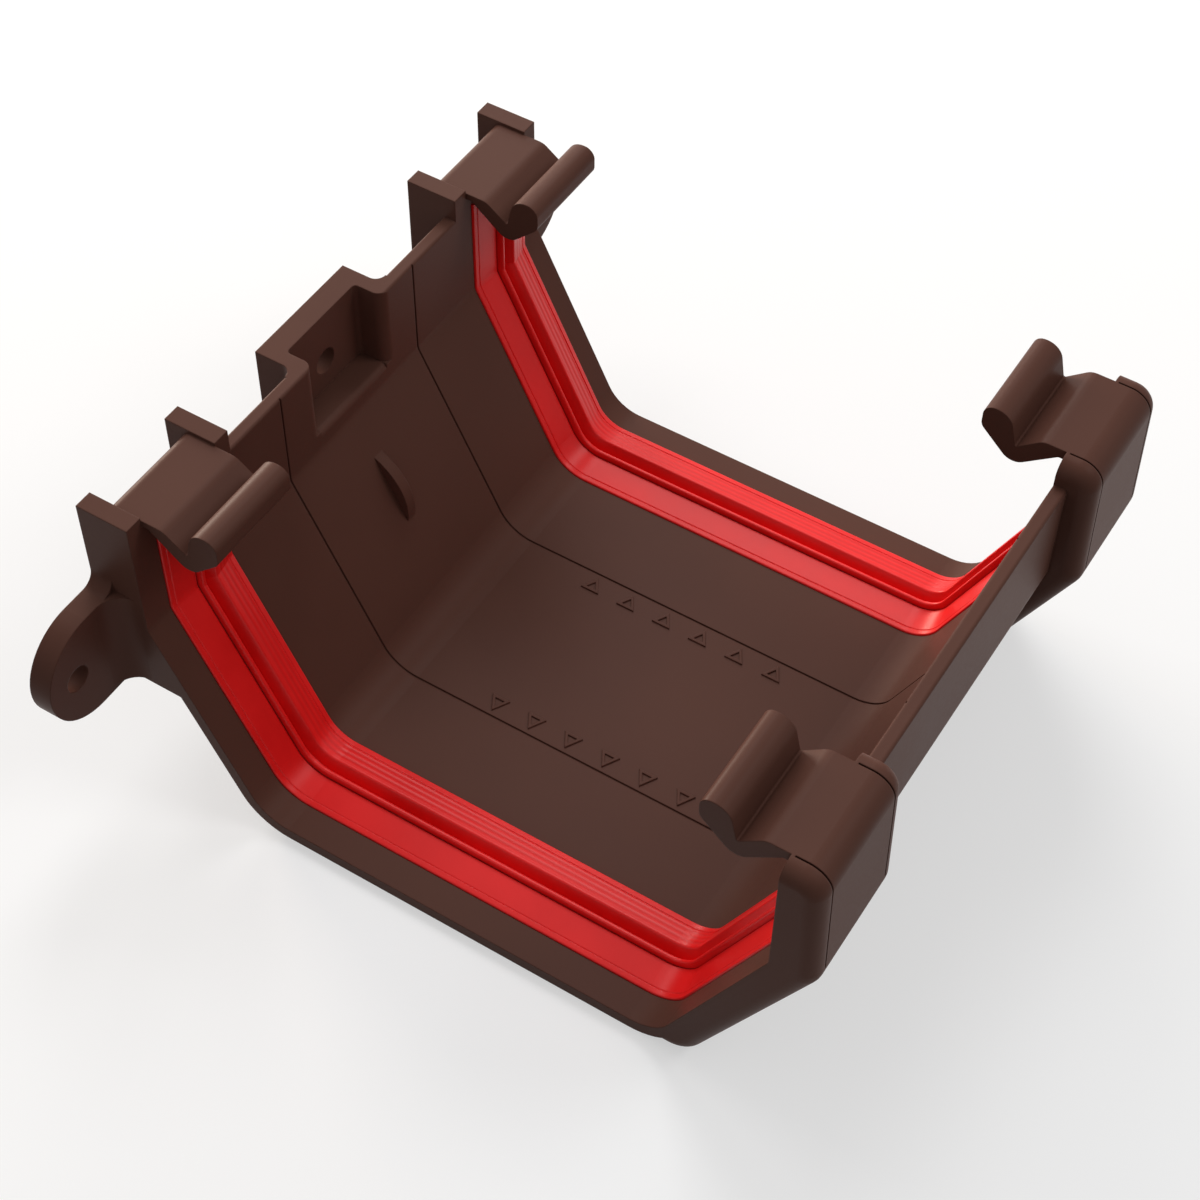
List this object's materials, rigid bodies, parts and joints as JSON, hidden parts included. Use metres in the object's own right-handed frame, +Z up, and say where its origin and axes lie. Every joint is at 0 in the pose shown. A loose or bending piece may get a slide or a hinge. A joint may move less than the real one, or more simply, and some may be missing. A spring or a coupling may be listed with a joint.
{
  "type": "gutter union bracket",
  "caption": "Moulded trough bracket that joins square-line eaves gutter ends, with snap clips, rubber seal strips, a fascia screw pocket and side screw lugs.",
  "frame": {"origin": "under the middle of the overall box, on the flat underside of the trough", "axes": "+X along the gutter run, +Y towards the fascia board that the bracket is screwed to, +Z up"},
  "size_m": [0.1532, 0.1346, 0.0689],
  "materials": {
    "body_plastic": "satin moulded brown plastic",
    "seal_rubber": "smooth red seal rubber"
  },
  "bodies": {
    "root": {"bracket_body": "body_plastic", "left_seal": "seal_rubber", "right_seal": "seal_rubber"}
  },
  "joints": []
}
